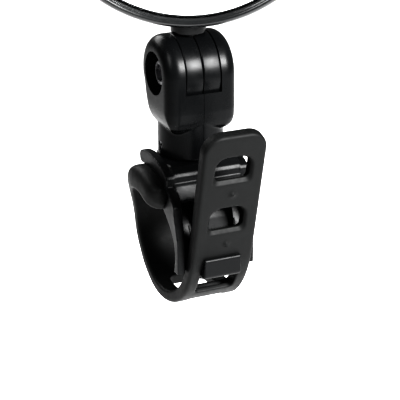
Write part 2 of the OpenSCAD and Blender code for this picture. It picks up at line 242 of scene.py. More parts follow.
def bevelled(bm, width, segments=3, angle=40):
    """Rounds every edge that is sharper than angle."""
    sharp = [e for e in bm.edges if e.is_manifold and e.calc_face_angle() > math.radians(angle)]
    bmesh.ops.bevel(
        bm, geom=sharp, offset=width, offset_type="OFFSET", segments=segments, profile=0.5, affect="EDGES",
        material=-1, clamp_overlap=True
    )
    return bm


def soften(bm, height, width):
    """Rounds the rim of a slab at one height."""
    rim = [
        e for e in bm.edges
        if all(abs(v.co.z - height) < 0.001 for v in e.verts) and e.calc_face_angle() > math.radians(40)
    ]
    bmesh.ops.bevel(
        bm, geom=rim, offset=width, offset_type="OFFSET", segments=5, profile=0.5, affect="EDGES", material=-1
    )


def applied(obj):
    """Bakes an object's modifiers into its mesh."""
    done = bpy.data.meshes.new_from_object(obj.evaluated_get(bpy.context.evaluated_depsgraph_get()))
    obj.modifiers.clear()
    obj.data = done
    return obj


def combined(obj, bm, operation):
    tool = new_object("tool", bm)
    modifier = obj.modifiers.new("combine", "BOOLEAN")
    modifier.operation = operation
    modifier.solver = "EXACT"
    modifier.object = tool
    applied(obj)
    bpy.data.objects.remove(tool)
    return obj


def cut(obj, *tools):
    for bm in tools:
        combined(obj, bm, "DIFFERENCE")
    return obj


def joined(obj, *tools):
    for bm in tools:
        combined(obj, bm, "UNION")
    return obj


def kept(obj, *tools):
    for bm in tools:
        combined(obj, bm, "INTERSECT")
    return obj


def kept_by(obj, other):
    """Keeps only what lies inside another object, and removes that object."""
    modifier = obj.modifiers.new("keep", "BOOLEAN")
    modifier.operation = "INTERSECT"
    modifier.solver = "EXACT"
    modifier.object = other
    applied(obj)
    bpy.data.objects.remove(other)
    return obj


def moulded(obj, voxel, rounds):
    """Remeshes a solid finely and eases its edges, as a moulding's are."""
    remesh = obj.modifiers.new("skin", "REMESH")
    remesh.mode = "VOXEL"
    remesh.voxel_size = voxel
    remesh.adaptivity = 0
    ease = obj.modifiers.new("ease", "SMOOTH")
    ease.factor = 0.5
    ease.iterations = rounds
    return applied(obj)


def finished(obj, material, body, slot, *nodes):
    """Scales a piece to metres and hands it to its body, in place of its CAD nodes."""
    obj.data.transform(Matrix.Scale(MM, 4))
    obj.data.polygons.foreach_set("use_smooth", [True] * len(obj.data.polygons))
    obj.data.materials.clear()
    obj.data.materials.append(material)
    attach(obj, body)
    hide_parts(*nodes)
    return obj


def sharpened(obj, degrees=35):
    """Smooth shading that stops at edges sharper than degrees."""
    bm = bmesh.new()
    bm.from_mesh(obj.data)
    for e in bm.edges:
        e.smooth = len(e.link_faces) == 2 and e.calc_face_angle() < math.radians(degrees)
    bm.to_mesh(obj.data)
    bm.free()
    return obj


def polar(r, a, centre=(0, 0)):
    """A (Y, Z) point at radius r, at angle a in degrees from straight up towards the rider."""
    t = math.radians(a)
    return (centre[0] - r * math.sin(t), centre[1] + r * math.cos(t))


def arc(r, a1, a2, centre=(0, 0), steps=16):
    return [polar(r, a1 + (a2 - a1) * i / steps, centre) for i in range(steps + 1)]


def corner(centre, r, a1, a2, steps=8):
    """Points of a rounded corner, at angles in degrees from +x anticlockwise."""
    angles = [math.radians(a1 + (a2 - a1) * i / steps) for i in range(steps + 1)]
    return [(centre[0] + r * math.cos(t), centre[1] + r * math.sin(t)) for t in angles]


def rounded_rectangle(x1, x2, y1, y2, r):
    return (
        corner((x2 - r, y2 - r), r, 0, 90) + corner((x1 + r, y2 - r), r, 90, 180)
        + corner((x1 + r, y1 + r), r, 180, 270) + corner((x2 - r, y1 + r), r, 270, 360)
    )


# An outline drawn as (Y, Z) and raised along X; one drawn as (X, Z) and raised along Y
SIDE_ON = Matrix(((0, 0, 1, 0), (1, 0, 0, 0), (0, 1, 0, 0), (0, 0, 0, 1)))
FRONT_ON = Matrix(((1, 0, 0, 0), (0, 0, 1, 0), (0, 1, 0, 0), (0, 0, 0, 1)))
ALONG_X = Matrix.Rotation(math.radians(90), 4, "Y")
ON_PITCH = Matrix.Translation(PITCH) @ ALONG_X


# Materials


def node(tree, kind, **values):
    n = tree.nodes.new(kind)
    for key, value in values.items():
        if hasattr(n, key):
            setattr(n, key, value)
        else:
            n.inputs[key.replace("_", " ")].default_value = value
    return n


def coordinates(tree):
    return tree.nodes.new("ShaderNodeTexCoord").outputs["Object"]


def noise(tree, size_mm, detail=4, roughness=0.55, distortion=0):
    """Noise whose features are about size_mm across."""
    scale = 1 / (size_mm * MM)
    n = node(
        tree, "ShaderNodeTexNoise", Scale=scale, Detail=detail, Roughness=roughness, Distortion=distortion
    )
    tree.links.new(coordinates(tree), n.inputs["Vector"])
    return n.outputs["Fac"]


def ranged(tree, source, low, high, start=0.3, stop=0.7):
    n = node(tree, "ShaderNodeMapRange")
    for key, value in (("From Min", start), ("From Max", stop), ("To Min", low), ("To Max", high)):
        n.inputs[key].default_value = value
    tree.links.new(source, n.inputs["Value"])
    return n.outputs["Result"]


def mixed(tree, factor, dark, light):
    n = node(tree, "ShaderNodeMix", data_type="RGBA")
    n.inputs[6].default_value = (*dark, 1)
    n.inputs[7].default_value = (*light, 1)
    tree.links.new(factor, n.inputs[0])
    return n.outputs[2]


def bumped(tree, shader, heights):
    """Chains bump nodes, one for each (height output, depth in mm)."""
    last = None
    for source, depth in heights:
        n = node(tree, "ShaderNodeBump", Strength=1.0, Distance=depth * MM)
        tree.links.new(source, n.inputs["Height"])
        if last:
            tree.links.new(last, n.inputs["Normal"])
        last = n.outputs["Normal"]
    tree.links.new(last, shader.inputs["Normal"])


def material(name, metallic=0.0, specular=0.5, coat=0.0, coat_roughness=0.1):
    """A material with its tree and its Principled shader."""
    made = bpy.data.materials.new(name)
    made.use_nodes = True
    shader = made.node_tree.nodes["Principled BSDF"]
    shader.inputs["Metallic"].default_value = metallic
    shader.inputs["Specular IOR Level"].default_value = specular
    shader.inputs["Coat Weight"].default_value = coat
    shader.inputs["Coat Roughness"].default_value = coat_roughness
    return made, made.node_tree, shader


def moulded_plastic(name, colour, rough, grain_mm=0.16, grain_depth=0.004, specular=0.045):
    """Spark-eroded mould texture, faint flow marks and a few rubbed patches."""
    made, tree, shader = material(name, specular=specular)
    flow = noise(tree, 6.0, detail=3, distortion=0.6)
    grain = noise(tree, grain_mm, detail=3, roughness=0.65)
    worn = noise(tree, 1.6, detail=6, roughness=0.7)
    tint = mixed(tree, flow, [c * 0.8 for c in colour], [c * 1.3 for c in colour])
    tree.links.new(tint, shader.inputs["Base Color"])
    total = node(tree, "ShaderNodeMath", operation="ADD")
    tree.links.new(ranged(tree, worn, rough * 0.85, rough * 1.1), total.inputs[0])
    tree.links.new(ranged(tree, flow, -0.03, 0.04), total.inputs[1])
    tree.links.new(total.outputs[0], shader.inputs["Roughness"])
    bumped(tree, shader, [(grain, grain_depth), (flow, 0.01)])
    return made


def strap_rubber(name, colour):
    """Matt moulded rubber: fine stipple, slow colour drift and a little bloom."""
    made, tree, shader = material(name, specular=0.05)
    drift = noise(tree, 9.0, detail=5, distortion=0.8)
    bloom = noise(tree, 2.2, detail=8, roughness=0.7)
    stipple = noise(tree, 0.22, detail=3, roughness=0.6)
    tone = mixed(tree, drift, [c * 0.75 for c in colour], [c * 1.35 for c in colour])
    dust = mixed(tree, ranged(tree, bloom, 0.0, 0.22, 0.52, 0.75), colour, (0.005, 0.005, 0.0048))
    blend = node(tree, "ShaderNodeMix", data_type="RGBA")
    blend.inputs[0].default_value = 0.35
    tree.links.new(tone, blend.inputs[6])
    tree.links.new(dust, blend.inputs[7])
    tree.links.new(blend.outputs[2], shader.inputs["Base Color"])
    tree.links.new(ranged(tree, bloom, 0.46, 0.62), shader.inputs["Roughness"])
    bumped(tree, shader, [(stipple, 0.006), (drift, 0.03)])
    return made


def mirror_silver(name):
    """Silvered glass with the faintest haze and ripple."""
    made, tree, shader = material(name, metallic=1.0, coat=0.6, coat_roughness=0.01)
    haze = noise(tree, 14.0, detail=4)
    ripple = noise(tree, 20.0, detail=1)
    tree.links.new(mixed(tree, haze, (0.93, 0.94, 0.945), (0.96, 0.965, 0.97)), shader.inputs["Base Color"])
    tree.links.new(ranged(tree, haze, 0.012, 0.03), shader.inputs["Roughness"])
    bumped(tree, shader, [(ripple, 0.004)])
    return made


def turned_metal(name, colour, rough):
    """Metal with fine tool marks and a mottled plating."""
    made, tree, shader = material(name, metallic=1.0)
    mottle = noise(tree, 0.9, detail=6, roughness=0.7)
    marks = noise(tree, 0.08, detail=2)
    plating = mixed(tree, mottle, [c * 0.75 for c in colour], [min(1, c * 1.2) for c in colour])
    tree.links.new(plating, shader.inputs["Base Color"])
    tree.links.new(ranged(tree, mottle, rough * 0.8, rough * 1.3), shader.inputs["Roughness"])
    bumped(tree, shader, [(marks, 0.002)])
    return made


def open_foam(name, colour):
    made, tree, shader = material(name, specular=0.2)
    cells = node(tree, "ShaderNodeTexVoronoi", Scale=1 / (0.35 * MM))
    tree.links.new(coordinates(tree), cells.inputs["Vector"])
    # Painted shade: the foam is darker towards the middle of each cell, in the pits that the bump dents in
    tint = mixed(tree, cells.outputs["Distance"], [c * 0.5 for c in colour], colour)
    tree.links.new(tint, shader.inputs["Base Color"])
    tree.links.new(ranged(tree, cells.outputs["Distance"], 0.8, 0.95, 0, 1), shader.inputs["Roughness"])
    bumped(tree, shader, [(cells.outputs["Distance"], 0.05)])
    return made


def pale_board(name):
    made, tree, shader = material(name, specular=0.1)
    wash = noise(tree, 900.0, detail=2)
    tree.links.new(mixed(tree, wash, (0.84, 0.84, 0.84), (0.87, 0.87, 0.87)), shader.inputs["Base Color"])
    shader.inputs["Roughness"].default_value = 0.9
    return made


# Strap: made flat, then bent round the bar. Its length s runs from the pad's front edge, over the bar,
# down behind it, under it and up the tail.


class StrapPath:
    """Where a point of the flat strap lies once it is bent.

    s runs along it, w across it, and h outwards from its inner face.
    """

    def __init__(self, strap):
        t = strap.thickness
        lean = math.degrees(strap.lean)
        self.lean = strap.lean
        self.pad_front = 37.0
        self.run_r = 22.0
        self.mid_r = BAR_R + t / 2
        tail_mid = (-FLEX.y - FLEX.z * math.tan(strap.lean)) * math.cos(strap.lean)
        self.run_end = 90 + lean
        run_turn = math.acos((self.run_r - tail_mid) / (self.run_r - self.mid_r))
        self.run_start = self.run_end + math.degrees(run_turn)
        self.centre = polar(-(self.run_r - self.mid_r), self.run_start)
        self.loop_turn = self.pad_front + 360 - self.run_start
        self.loop_length = math.radians(self.loop_turn) * self.mid_r
        self.run_length = math.radians(self.run_start - self.run_end) * self.run_r
        self.half = t / 2
        self.side_play = 0.3
        self.pad_shift = 1.2
        self.pad_shift_length = 40

    def slack(self, s):
        """How far the strap hangs off the bar, most under its front."""
        d = abs(s - self.loop_length + 2) / 17
        return 0.9 * math.cos(math.pi / 2 * d) ** 2 if d < 1 else 0.0

    def place(self, s, w, h):
        """Bends a flat point round the bar, along the easier curve in front of it, then up the tail."""
        h += self.slack(s)
        w += self.side_play
        if s < self.pad_shift_length:
            w -= self.pad_shift * math.cos(math.pi / 2 * max(0.0, s / self.pad_shift_length))
        if s < self.loop_length:
            a = self.pad_front - math.degrees(s / self.mid_r)
            y, z = polar(BAR_R + h, a)
        elif s < self.loop_length + self.run_length:
            a = self.run_start - math.degrees((s - self.loop_length) / self.run_r)
            y, z = polar(self.run_r - self.half + h, a, self.centre)
        else:
            y, z = polar(self.run_r - self.half + h, self.run_end, self.centre)
            d = s - self.loop_length - self.run_length
            y -= d * math.sin(self.lean)
            z += d * math.cos(self.lean)
        return Vector((w, y, z))

    def length_at_angle(self, a):
        """Length along the strap at angle a round the bar, counted from straight up towards the rider."""
        return self.mid_r * math.radians(self.pad_front + 360 - a)

    def length_at(self, z):
        """Length along the strap where the tail's middle passes height z."""
        foot = self.place(self.loop_length + self.run_length, 0, self.half)
        return self.loop_length + self.run_length + (z - foot.z) / math.cos(self.lean)


def slot_outline(strap, s, inset=0.0, lip=0.0):
    """A slot with a flat foot and a round-cornered top; s is the length at its foot."""
    w = strap.slot_width / 2 - inset
    foot, top = 1.2, 3.2 - inset
    low, high = s + lip, s + strap.slot_height - inset
    return (
        corner((high - top, w - top), top, 0, 90)
        + corner((low + foot, w - foot), foot, 90, 180)
        + corner((low + foot, -w + foot), foot, 180, 270)
        + corner((high - top, -w + top), top, 270, 360)
    )


def flared(lower, upper, low, high):
    """A solid between two outlines with as many points, one at z = low and one at z = high."""
    bm = bmesh.new()
    loops = []
    for outline, z in ((lower, low), (upper, high)):
        verts = [bm.verts.new((x, y, z)) for x, y in outline]
        loops.append([bm.edges.new((a, b)) for a, b in zip(verts, verts[1:] + verts[:1])])
    bmesh.ops.bridge_loops(bm, edges=loops[0] + loops[1])
    for loop in loops:
        bmesh.ops.contextual_create(bm, geom=loop)
    return recalculated(bm)


def smooth(x, low, high):
    """Eases from 0 at low to 1 at high."""
    t = min(1.0, max(0.0, (x - low) / (high - low)))
    return t * t * (3 - 2 * t)


class StrapShape(StrapPath):
    """Widths and thicknesses of the flat strap."""

    nose = 4.0
    bend = 4.6
    rim = 2.6
    rim_drop = 2.0

    def __init__(self, strap):
        super().__init__(strap)
        self.strap = strap
        self.flex = self.length_at(FLEX.z)
        rise = TAIL_HIGH.z - FLEX.z - self.half * math.sin(strap.lean)
        self.tip = self.flex + rise / math.cos(strap.lean)
        self.pad_end = self.mid_r * math.radians(self.pad_front + 58)
        self.first_slot = self.flex + 3.6

    def half_width(self, s):
        strap = self.strap
        pad, loop = strap.pad_width / 2, strap.loop_width / 2
        tail, tip = strap.tail_width / 2, strap.tip_width / 2
        width = pad + (loop - pad) * smooth(s, self.pad_end - 12, self.pad_end + 9)
        width += (tail - loop) * smooth(s, self.loop_length - 12, self.loop_length + 5)
        width += (tip - tail) * smooth(s, self.flex, self.tip)
        if s < self.nose:
            width += math.sqrt(self.nose**2 - (self.nose - s) ** 2) - self.nose
        if s > self.tip - self.bend:
            width += math.sqrt(max(0.0, self.bend**2 - (s - self.tip + self.bend) ** 2)) - self.bend
        return width

    def outline(self):
        """The strap's flat outline, finely stepped where its front corners and its tip turn."""
        steps = [0.06 * i * i for i in range(10)] + [6 + 1.5 * i for i in range(200)]
        side = [s for s in steps if s < self.tip - 5]
        side += [self.tip - self.bend + self.bend * math.sin(math.radians(5 * i)) for i in range(19)]
        half = [(s, self.half_width(s)) for s in side]
        return half + [(s, -w) for s, w in reversed(half)]

    def thickness(self, s, w):
        """Thickness at a place, crowned over the pad and rounded off at the pad's rim."""
        t, pad = self.strap.thickness, self.strap.pad_thickness
        rise = smooth(s, 0, 2.2) * (1 - smooth(s, self.pad_end - 14, self.pad_end + 8))
        top = t + (pad - t) * rise
        edge = min(1.0, max(0.0, (abs(w) - self.half_width(s) + self.rim) / self.rim))
        return top - self.rim_drop * rise * (1 - math.sqrt(1 - edge**2))

    def pip(self, s, w):
        """Height of the small moulded pips under the slots."""
        height = 0.0
        for place in (self.first_slot - 3.0, self.first_slot + self.strap.slot_pitch - 2.9):
            height += 0.5 * math.exp(-((s - place) ** 2 + (w - 0.4) ** 2) / 0.42)
        return height


class STRAP_OT_build(bpy.types.Operator):
    """Mould the strap flat, bend it round the bar and put its front on a mesh of its own"""

    bl_idname = "bike_mirror.strap"
    bl_label = "Strap"

    def execute(self, context):
        strap = context.scene.bike_mirror_strap
        shape = StrapShape(strap)
        t = strap.thickness
        slab = prism(shape.outline(), 0, t)
        soften(slab, t, 0.9)
        soften(slab, 0.0, 0.5)
        body = new_object("strap", slab)
        for i in range(2):
            foot = shape.first_slot + i * strap.slot_pitch
            hole, rim = slot_outline(strap, foot, 0.65, 1.1), slot_outline(strap, foot, -0.1, -0.1)
            back = slot_outline(strap, foot, 0.4, -0.3)
            cut(body, prism(hole, -1, t + 1))
            cut(body, flared(hole, rim, t - 0.8, t + 0.1), flared(back, hole, -0.1, t - 0.9))
        hook_top = shape.length_at(-1.2)
        w = strap.slot_width / 2
        cut(body, prism(rounded_rectangle(hook_top - 9.4, hook_top, -w, w, 1.2), -1, t + 1))
        cut(body, prism(rounded_rectangle(hook_top - 11.6, hook_top - 4, -w, w, 1.2), -1, t - 1.3))
        under = shape.length_at_angle(193), shape.length_at_angle(146)
        cut(body, prism(rounded_rectangle(*under, -w, w, 1.2), -1, t + 1))
        moulded(body, 0.24, 5)
        # The joint's bending zone reaches the pad's height, so the pad is on a mesh of its own
        front = body.copy()
        front.data = body.data.copy()
        front.name = "strap_front"
        context.scene.collection.objects.link(front)
        seam = shape.length_at_angle(205)
        cut(body, block((seam, -30, -9), (200, 30, 20)))
        cut(front, block((-20, -30, -9), (seam, 30, 20)))
        rubber = strap_rubber("strap_rubber", strap.colour)
        for piece in (body, front):
            for v in piece.data.vertices:
                s, w, h = v.co
                top = smooth(h, t / 2, t)
                v.co = shape.place(s, w, h * shape.thickness(s, w) / t + shape.pip(s, w) * top)
            piece.data.flip_normals()
            piece.data.transform(Matrix.Scale(MM, 4))
            piece.data.polygons.foreach_set("use_smooth", [True] * len(piece.data.polygons))
            sharpened(piece, 60)
            piece.data.materials.clear()
            piece.data.materials.append(rubber)
        start = shape.place(shape.flex - 3.5, 0, shape.half) * MM
        end = shape.place(shape.flex + 5.5, 0, shape.half) * MM
        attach(body, "clamp")
        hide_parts("strap_loop")
        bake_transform(front)
        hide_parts("strap_loop", "strap_tail")
        return {"FINISHED"}


# Saddle


class SADDLE_OT_build(bpy.types.Operator):
    """Mould the saddle with its side rims, seat, front arm and hook"""

    bl_idname = "bike_mirror.saddle"
    bl_label = "Saddle"

    def execute(self, context):
        body = context.scene.bike_mirror_body
        seat = body.seat_height
        half = body.saddle_width / 2
        rim_in = half - body.rim_width
        pad_r = BAR_R + 5.75
        gap_r = BAR_R + 0.6
        rim_r = 21.7
        leg_r = 19.4
        foot = -3.8
        middle = [(9, 12), (9, seat), (-8, seat), (-9.7, 19.6), (-10.1, 18.7), (-10.1, 17.4), (-10.7, 16.8)]
        middle += [(-12.6, 13.5), (-9, 11)]
        obj = new_object("saddle", prism(middle, -rim_in - 0.2, rim_in + 0.2, SIDE_ON))
        footprint = new_object("footprint", rod(-20, 40, 8.1))
        joined(footprint, block((-15, -20, -15), (15, 0, 35)))
        kept_by(obj, footprint)
        tip = polar((rim_r + pad_r) / 2, -14)
        rim = (
            corner(tip, (rim_r - pad_r) / 2, -104, 76, 10)
            + arc(rim_r, -12, 27, steps=14) + [polar(rim_r - 0.5, 29)]
            + arc(leg_r, 31, 48, steps=8)
            + [(-14.9, 8), (-15, 5), (-15, foot), (-10, foot), (-7, 9), (0, 15)]
        )
        arm = [(-8, 13.5), (-12.8, 13.5), (-14.5, 9.2), (-15.7, 5), (-15.2, 1.5), (-14.6, -1.4)]
        arm += [(-18.4, -1.4), (-18.4, 0.7), (-18.95, 0.7), (-19.3, 0.25), (-19.1, -3.7), (-18.7, -4.4)]
        arm += [(-8, -4.4)]
        wall = arc(gap_r - 1, 37, 105) + list(reversed(arc(gap_r + 0.9, 37, 105)))
        joined(
            obj, prism(rim, rim_in, half, SIDE_ON), prism(rim, -half, -rim_in, SIDE_ON),
            prism(wall, -rim_in - 0.2, rim_in + 0.2, SIDE_ON), prism(arm, -4.7, 4.7, SIDE_ON)
        )
        under_pad = [(0, 0)] + arc(pad_r, -62, 37.6, steps=40)
        cut(obj, prism(under_pad, -20, 20, SIDE_ON), rod(-20, 20, gap_r, ALONG_X))
        cut(obj, rod(10, 30, 2.1), rod(10, pad_r + 1.3, 3.8))
        moulded(obj, 0.2, 4)
        middle_half = 6
        for v in obj.data.vertices:
            if abs(v.co.x) > middle_half:
                v.co.x *= 1 - 0.07 * smooth(12 - v.co.z, 0, 10)
        plastic = moulded_plastic("saddle_plastic", body.colour, 0.38)
        finished(obj, plastic, "clamp", "saddle_plastic", "base_saddle")
        return {"FINISHED"}


# Fork and barrel


def fork_blank(body):
    """Outside of the fork before it is split: pillowed cheeks that run down into a round stem."""
    x = -FORK_LOW.x
    r = (FORK_HIGH.y - FORK_LOW.y) / 2
    shoulder = 28.0
    back = [(9.2, 37.2), (8.5, 34.4), (7.7, 32.2), (6.6, 30.3), (5.2, 28.9), (3.4, 28.0), (1.4, 27.7)]
    front = [(-4.6, 27.7), (-6.3, 28.1), (-7.5, 29.2), (-8.0, 30.6), (-8.15, 33.0)]
    outline = arc(r, 90, -104, centre=(PITCH.y, PITCH.z), steps=48) + back + front
    cheeks = prism(outline, -x, x, SIDE_ON)
    bevelled(cheeks, body.cheek_fillet, segments=8, angle=60)
    blank = new_object("fork_blank", cheeks)
    c, tall = 3.4, 1.8
    round_corner = corner((x - c, 0), c, 270, 360, 10)
    half_view = [(px, 27.6 + (pz + c) * tall) for px, pz in round_corner] + [(x, 70)]
    view = half_view + [(-px, pz) for px, pz in reversed(half_view)]
    kept(blank, prism(view, -20, 20, FRONT_ON))
    stem = rod(body.seat_height + 0.05, shoulder + 2.5, body.stem_radius)
    bevelled(stem, 0.35, segments=3, angle=60)
    joined(blank, stem)
    moulded(blank, 0.22, 7)
    if blank.dimensions.z < FORK_HIGH.z - FORK_LOW.z - 1.5:
        raise RuntimeError(f"the fork's cheeks were lost: it is {blank.dimensions.z:.1f} mm tall")
    return blank


def fork_hollows(blank, body):
    """Cuts the barrel's pocket, its two lips and the bores for the post and the screw."""
    r = (FORK_HIGH.y - FORK_LOW.y) / 2
    cheek = 4.55
    post = body.seat_height
    cut(blank, rod(-cheek, cheek, r + 0.2, ON_PITCH))
    cut(blank, block((-cheek, -20, 37.65), (cheek, 0, 60)), block((-cheek, 5, 36.6), (cheek, 20, 60)))
    cut(blank, rod(-20, 20, 2.15, ON_PITCH), rod(0, post + 8.5, 3.7), rod(0, post + 0.7, 6.9))
    cut(blank, rod(post + 7.2, post + 9.7, 5.5))
    return blank


def beyond_seam(side):
    """Corners of the block that is cut away from the half on that side."""
    seam = 0.05
    if side < 0:
        return (-seam, -60, -60), (60, 60, 120)
    return (-60, -60, -60), (seam, 60, 120)


class FORK_OT_build(bpy.types.Operator):
    """Mould the fork's two halves, with the screw's recess on the left and the nut's pocket on the right"""

    bl_idname = "bike_mirror.fork"
    bl_label = "Fork"

    def execute(self, context):
        body = context.scene.bike_mirror_body
        plastic = moulded_plastic("fork_plastic", body.colour, 0.30)
        blank = fork_hollows(fork_blank(body), body)
        for name, side in (("fork_left", -1), ("fork_right", 1)):
            half = bpy.data.objects.new(name + "_half", blank.data.copy())
            context.scene.collection.objects.link(half)
            cut(half, block(*beyond_seam(side)))
            if side < 0:
                cut(half, rod(-20, -5.6, body.recess_radius, ON_PITCH))
                across = Matrix.Translation((0, 0, SET_SCREW.z)) @ ALONG_X
                cut(half, rod(-20, -3.6, 1.05, across))
            else:
                cut(half, rod(5.6, 20, 4.1, ON_PITCH, steps=6))
            sharpened(half, 32)
            finished(half, plastic, "fork", "fork_plastic", name)
        bpy.data.objects.remove(blank)
        return {"FINISHED"}


class BARREL_OT_build(bpy.types.Operator):
    """Turn the two halves of the barrel that grips the neck's pin"""

    bl_idname = "bike_mirror.barrel"
    bl_label = "Barrel"

    def execute(self, context):
        body = context.scene.bike_mirror_body
        plastic = moulded_plastic("barrel_plastic", body.colour, 0.30)
        r = (BARREL_HIGH.y - BARREL_LOW.y) / 2
        x = BARREL_HIGH.x
        soft = 0.3
        profile = [(2.1, 0.05), (r - soft, 0.05)] + corner((r - soft, 0.05 + soft), soft, 270, 360, 4)
        profile += corner((r - soft, x - soft), soft, 0, 90, 4) + [(6.2, x), (6.2, x - 0.3), (2.1, x - 0.3)]
        for name, side in (("barrel_right", 1), ("barrel_left", -1)):
            turn = ON_PITCH @ Matrix.Scale(side, 4, (0, 0, 1))
            half = new_object(name + "_half", recalculated(lathe(profile, turn)))
            up = Matrix.Translation((0, PITCH.y, 0))
            cut(half, rod(44.1, 60, 2.7, up), rod(44.1, 46.95, 3.6, up))
            sharpened(half, 50)
            finished(half, plastic, "barrel", "barrel_plastic", name)
        return {"FINISHED"}


# Clamp screw


class SCREW_OT_build(bpy.types.Operator):
    """Turn the clamp screw with its bevelled socket head"""

    bl_idname = "bike_mirror.clamp_screw"
    bl_label = "Clamp screw"

    def execute(self, context):
        low, high = (mm(c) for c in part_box("clamp_screw"))
        head_r, face = 3.0, low.x
        seat = face + 1.4
        profile = [(0, high.x), (1.7, high.x), (2.0, high.x - 0.3), (2.0, seat)]
        profile += [(head_r - 0.15, seat), (head_r, seat - 0.15)]
        profile += corner((head_r - 0.35, face + 0.35), 0.35, 0, -90, 5) + [(0, face)]
        head = new_object("screw", recalculated(lathe(profile, ON_PITCH, steps=64)))
        cut(head, rod(face - 1, face + 1.0, 2.3, ON_PITCH, steps=6))
        sharpened(head, 30)
        steel = turned_metal("black_oxide", (0.11, 0.11, 0.115), 0.3)
        finished(head, steel, "fork", "black_steel", "clamp_screw")
        return {"FINISHED"}


# Mirror head


def head_frame(head):
    """Matrix that puts Z along the face's axis, at the middle of the head."""
    centre = Vector((0, PITCH.y, (BEZEL_LOW.z + BEZEL_HIGH.z) / 2))
    upright = Matrix.Rotation(math.radians(90), 4, "X")
    return Matrix.Translation(centre) @ Matrix.Rotation(head.turn, 4, "Z") @ upright


def sag(head, r):
    """How far the glass has fallen away at radius r."""
    return head.glass_curve - math.sqrt(head.glass_curve**2 - r * r)


class HEAD_OT_build(bpy.types.Operator):
    """Turn the shell, the rounded bezel and the bevelled convex glass"""

    bl_idname = "bike_mirror.head"
    bl_label = "Mirror head"

    def execute(self, context):
        head = context.scene.bike_mirror_head
        place = head_frame(head)
        radius = (BEZEL_HIGH.z - BEZEL_LOW.z) / 2
        inner = radius - head.bezel_width
        seat = radius - 1.65
        crown = [
            (inner + head.bezel_width / 2 + (head.bezel_width / 2) * math.cos(t), 3.9 + 2.1 * math.sin(t))
            for t in (math.radians(180 * i / 18) for i in range(19))
        ]
        ring = [(seat, 2.3), (radius - 0.2, 2.3), (radius, 2.5)] + crown[:-2] + [(inner, 4.7), (seat, 4.7)]
        bezel = new_object("bezel_ring", lathe(ring, place, 192))
        sharpened(bezel, 40)
        gloss = moulded_plastic("bezel_plastic", head.colour, 0.24, specular=0.3)
        finished(bezel, gloss, "head", "bezel_plastic", "mirror_bezel")
        edge = seat - 0.1
        bevel = 1.9
        front = 5.8
        face = [(r, front - sag(head, r)) for r in ((edge - bevel) * i / 14 for i in range(15))]
        rim_n = face[-1][1]
        back = [(r, front - 2 - sag(head, r)) for r in (edge * i / 10 for i in range(10, -1, -1))]
        ground = [(edge - bevel + 0.12, rim_n - 0.03), (edge - 0.25, rim_n - 0.42), (edge, rim_n - 0.7)]
        lens = face + ground + back
        glass = new_object("glass_lens", lathe(lens, place, 192))
        sharpened(glass, 12)
        finished(glass, mirror_silver("mirror_silver"), "head", "mirror", "mirror_glass")
        self.shell(head, place, radius)
        return {"FINISHED"}

    def shell(self, head, place, radius):
        """The shallow shell behind the glass, with the boss that the neck's pin enters."""
        def skin(d):
            """Half section of the shell's surface at depth d below its outside."""
            r1, front, back = radius - d, 2.3, -5 + d
            fall = 3.5 - d * 0.3
            dome = [((r1 - 5) * i / 12, back + (1.0 - fall - back) * (i / 12) ** 2) for i in range(13)]
            turns = (math.radians(9 * i) for i in range(1, 11))
            side = [(r1 - 5 + 5 * math.sin(a), 1.0 - fall * math.cos(a)) for a in turns]
            return dome + side + [(r1, front)]

        outer, inner = skin(0), skin(1.8)
        shell = new_object("head_shell", lathe(outer + list(reversed(inner)), place, 192))
        boss = rod(51.4, 59.5, 4.0, Matrix.Translation((0, PITCH.y, 0)))
        bevelled(boss, 0.8, 4, 60)
        boss_obj = new_object("boss", boss)
        kept(boss_obj, rod(-30, 2.2, radius - 0.03, place, steps=192))
        modifier = shell.modifiers.new("boss", "BOOLEAN")
        modifier.operation = "UNION"
        modifier.object = boss_obj
        applied(shell)
        bpy.data.objects.remove(boss_obj)
        cut(shell, rod(50, 58.5, 2.0, Matrix.Translation((0, PITCH.y, 0))))
        sharpened(shell, 40)
        plastic = moulded_plastic("housing_plastic", head.colour, 0.36)
        finished(shell, plastic, "head", "housing_plastic", "mirror_housing")


class NECK_OT_build(bpy.types.Operator):
    """Turn the polished neck with its pin and collar"""

    bl_idname = "bike_mirror.neck"
    bl_label = "Neck"

    def execute(self, context):
        head = context.scene.bike_mirror_head
        low, high = (mm(c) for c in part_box("mirror_neck"))
        foot = PITCH.z + (BARREL_HIGH.y - BARREL_LOW.y) / 2 + 0.15
        r = head.neck_radius
        profile = [(0, low.z), (3.5, low.z), (3.5, low.z + 1.9), (2.6, low.z + 1.9), (2.6, foot)]
        profile += [(r - 0.25, foot), (r, foot + 0.25), (r, foot + 3.2), (2.0, foot + 3.2), (2.0, high.z)]
        profile += [(0, high.z)]
        neck = new_object("neck_stub", lathe(profile, Matrix.Translation((0, PITCH.y, 0)), 96))
        radius = (BEZEL_HIGH.z - BEZEL_LOW.z) / 2
        cope = rod(-30, 30, radius + 0.02, head_frame(head), steps=192)
        hole = new_object("cope", cope)
        cut(hole, rod(40, 70, 2.05, Matrix.Translation((0, PITCH.y, 0))))
        modifier = neck.modifiers.new("cope", "BOOLEAN")
        modifier.operation = "DIFFERENCE"
        modifier.object = hole
        applied(neck)
        bpy.data.objects.remove(hole)
        sharpened(neck, 35)
        dark = [c * 0.6 for c in head.colour]
        polished = moulded_plastic("neck_plastic", dark, 0.12, grain_depth=0.0006, specular=0.14)
        finished(neck, polished, "head", "neck_plastic", "mirror_neck")
        return {"FINISHED"}


# Small parts keep their CAD shape


